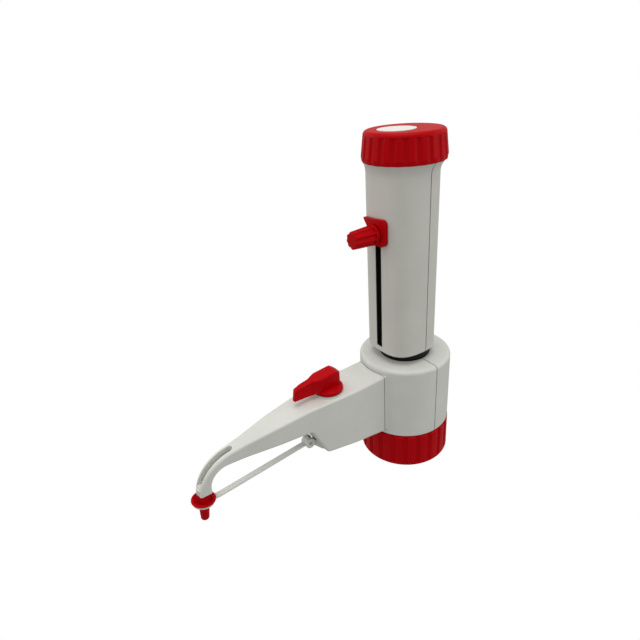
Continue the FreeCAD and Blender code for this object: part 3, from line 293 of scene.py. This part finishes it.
def cap_grip(point):
    """Deepens the cap's flutes below its rounded head, and makes its foot fuller."""
    out = (point - cap_axis).xy.to_3d()
    height = point.z - cap_low.z
    room = cap_high.z - CAP_FLUTE_HEAD - point.z
    if out.length < CAP_GRIP_R or room < -CAP_EDGE_REACH:
        return point
    sunk = CAP_FLUTE_DEEPER * min(1.0, max(0.0, room) / FLUTE_RUN_OUT) * flute_share(out, out.length)
    fuller = CAP_FOOT_GROWTH * max(0.0, 1 - height / CAP_WIDEST)
    return point + out * ((fuller - sunk) / out.length)


soft_copy("bottle_ring", "bottle_ring_grip", ring_grip, [
    RING_FLUTE_FOOT + FLUTE_RUN_OUT,
    ring_top.z - RING_TOP_BEVEL,
])
soft_copy("top_cap", "top_cap_grip", cap_grip, [
    cap_low.z + CAP_WIDEST,
    cap_high.z - CAP_FLUTE_HEAD - FLUTE_RUN_OUT,
    cap_high.z - CAP_FLUTE_HEAD,
])

# Grip of the lever, in mm: its beak and its rear corners are rounder than in the solid
BEAK_R = 5.0
BEAK_TOP = 79.4
GRIP_X = 4.8
GRIP_BACK = -53.8
GRIP_BACK_R = 4.0
GRIP_FOOT = 72.5
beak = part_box("recirculation_lever")[0] / MM


def pulled_in(out, radius):
    """Part of a vector that goes past a circle."""
    return out * max(0.0, 1 - radius / max(out.length, radius))


def rounded_lever(point):
    """Rounds the beak as seen from the side, and the rear corners as seen from above."""
    if point.z < GRIP_FOOT:
        return point
    nose = Vector((0, min(0.0, point.y - beak.y - BEAK_R), max(0.0, point.z - BEAK_TOP + BEAK_R)))
    aside = max(0.0, abs(point.x) - GRIP_X + GRIP_BACK_R)
    back = Vector((math.copysign(aside, point.x), max(0.0, point.y - GRIP_BACK + GRIP_BACK_R), 0))
    if nose.y < 0:
        return point - pulled_in(nose, BEAK_R)
    return point - pulled_in(back, GRIP_BACK_R)


soft_copy("recirculation_lever", "recirculation_lever_grip", rounded_lever)


def spin_loop(mesh, profile, steps, turns=1.0, pitch=0.0):
    """Closed profile of radii and heights in mm, spun about Z. With a pitch it climbs as a screw."""
    loop = [mesh.verts.new((radius * MM, 0, height * MM)) for radius, height in profile]
    edges = [mesh.edges.new(pair) for pair in zip(loop, loop[1:] + loop[:1])]
    bmesh.ops.spin(mesh, geom=loop + edges, axis=(0, 0, 1), cent=(0, 0, 0),
                   angle=2 * math.pi * turns, steps=int(steps * turns),
                   dvec=(0, 0, pitch * MM / steps), use_merge=not pitch)


# Thread of a 45 mm bottle neck, in mm: it is sunk 0.1 in the ring's wall and fades out at both ends
THREAD_ROOT = 22.6
THREAD_CREST = 21.6
THREAD_PITCH = 4.0
THREAD_TURNS = 2.2
THREAD_FOOT = 2.0
THREAD_FOOT_HALF = 0.9
THREAD_CREST_HALF = 0.35
THREAD_STEPS = 72
THREAD_FADE = 0.14      # of a turn
THREAD_END_DEPTH = 0.15


def ring_thread():
    """Screw thread inside the bottle ring: a ridge of trapezium section along a helix."""
    mesh = bmesh.new()
    section = [
        (THREAD_ROOT, THREAD_FOOT - THREAD_FOOT_HALF),
        (THREAD_CREST, THREAD_FOOT - THREAD_CREST_HALF),
        (THREAD_CREST, THREAD_FOOT + THREAD_CREST_HALF),
        (THREAD_ROOT, THREAD_FOOT + THREAD_FOOT_HALF),
    ]
    spin_loop(mesh, section, THREAD_STEPS, THREAD_TURNS, THREAD_PITCH)
    for vert in mesh.verts:
        radius = vert.co.xy.length / MM
        if radius > (THREAD_ROOT + THREAD_CREST) / 2:
            continue
        climbed = (vert.co.z / MM - THREAD_FOOT) / THREAD_PITCH
        from_end = max(0.0, min(climbed, THREAD_TURNS - climbed))
        rise = min(1.0, from_end / THREAD_FADE)
        depth = THREAD_END_DEPTH + (THREAD_ROOT - THREAD_CREST - THREAD_END_DEPTH) * rise
        vert.co.xy *= (THREAD_ROOT - depth) / radius
    bmesh.ops.holes_fill(mesh, edges=mesh.edges, sides=4)
    bmesh.ops.recalc_face_normals(mesh, faces=mesh.faces)
    return new_piece("ring_thread", mesh, "bottle_ring", "red_plastic")


ring_thread()


# Barbs of the filling nipple, in mm: they start inside its wall
BARB_FEET = (13.6, 15.5, 17.4)
BARB_INNER = 3.1
BARB_LIP = 0.1
BARB_CREST = 3.5
BARB_LENGTH = 1.45
BARB_LAND = 0.15
BARB_STEPS = 48


def nipple_barbs():
    """Three barbs on the nipple that hold the filling tube."""
    mesh = bmesh.new()
    for foot in BARB_FEET:
        head = foot + BARB_LENGTH
        profile = [
            (BARB_INNER, foot),
            (BARB_INNER + BARB_LIP, foot),
            (BARB_CREST, head - BARB_LAND),
            (BARB_CREST, head),
            (BARB_INNER, head),
        ]
        spin_loop(mesh, profile, BARB_STEPS)
    bmesh.ops.recalc_face_normals(mesh, faces=mesh.faces)
    return new_piece("nipple_barbs", mesh, "base", "inner_plastic")


nipple_barbs()


# Light: a pale studio with one broad lamp overhead and two weak fills

SKY_ABOVE = 0.62
SKY_BELOW = 0.36
SKY_BLEND = 0.6         # height of a direction, from -1 to 1, at which the sky reaches those levels


def studio():
    """White room that is lighter above than below. The camera sees it as plain white."""
    world = bpy.data.worlds.new("studio")
    bpy.context.scene.world = world
    world.use_nodes = True
    tree = world.node_tree
    tree.nodes.clear()
    seen = add_node(tree, "ShaderNodeBackground", Color=[1, 1, 1, 1], Strength=1.0)
    way = add_node(tree, "ShaderNodeTexCoord").outputs["Generated"]
    height = add_node(tree, "ShaderNodeSeparateXYZ", Vector=way).outputs["Z"]
    level = add_node(tree, "ShaderNodeMapRange", Value=height, From_Min=-SKY_BLEND, From_Max=SKY_BLEND,
                     To_Min=SKY_BELOW, To_Max=SKY_ABOVE)
    lit = add_node(tree, "ShaderNodeBackground", Color=[1.0, 1.0, 0.99, 1],
                   Strength=level.outputs["Result"])
    path = add_node(tree, "ShaderNodeLightPath")
    mix = add_node(tree, "ShaderNodeMixShader", _0=path.outputs["Is Camera Ray"],
                   _1=lit.outputs["Background"], _2=seen.outputs["Background"])
    add_node(tree, "ShaderNodeOutputWorld", Surface=mix.outputs["Shader"])


def lamp(name, place, aim, size, power):
    """Round soft lamp. Places and size are in metres, power in watts."""
    data = bpy.data.lights.new(name, "AREA")
    data.shape = "DISK"
    data.size = size
    data.energy = power
    lamp_object = bpy.data.objects.new(name, data)
    lamp_object.location = place
    way = Vector(aim) - Vector(place)
    lamp_object.rotation_euler = way.to_track_quat("-Z", "Y").to_euler()
    bpy.context.scene.collection.objects.link(lamp_object)
    return lamp_object


studio()
lamp("overhead", place=(0.05, -0.1, 0.9), aim=(0, -0.05, 0.08), size=0.7, power=2.9)
lamp("left_fill", place=(-0.6, -0.45, 0.35), aim=(0, -0.05, 0.1), size=0.5, power=0.8)
lamp("right_fill", place=(0.5, 0.55, 0.3), aim=(0, 0, 0.12), size=0.5, power=0.9)


# Camera at the photograph's viewpoint

CAMERA_PLACE = Vector((208.007, -194.311, 242.345))     # mm
CAMERA_HEADING = math.radians(57.7956)                  # turned left from looking along +Y
CAMERA_TILT = math.radians(-27.2139)
CAMERA_ROLL = math.radians(-4.3809)
PICTURE_WIDTH = 640                                     # pixels
FOCAL_LENGTH = 500                                      # pixels
SENSOR_WIDTH = 36.0                                     # mm


def photo_camera():
    """Camera that was fitted to the photograph."""
    data = bpy.data.cameras.new("photo_camera")
    data.sensor_width = SENSOR_WIDTH
    data.lens = SENSOR_WIDTH * FOCAL_LENGTH / PICTURE_WIDTH
    data.clip_start = 0.01
    camera = bpy.data.objects.new("photo_camera", data)
    upright = Matrix.Rotation(math.pi / 2 + CAMERA_TILT, 4, "X")
    turn = Matrix.Rotation(CAMERA_HEADING, 4, "Z") @ upright @ Matrix.Rotation(CAMERA_ROLL, 4, "Z")
    camera.matrix_world = Matrix.Translation(CAMERA_PLACE * MM) @ turn
    bpy.context.scene.collection.objects.link(camera)
    bpy.context.scene.camera = camera


photo_camera()
bpy.context.scene.view_settings.view_transform = "Standard"
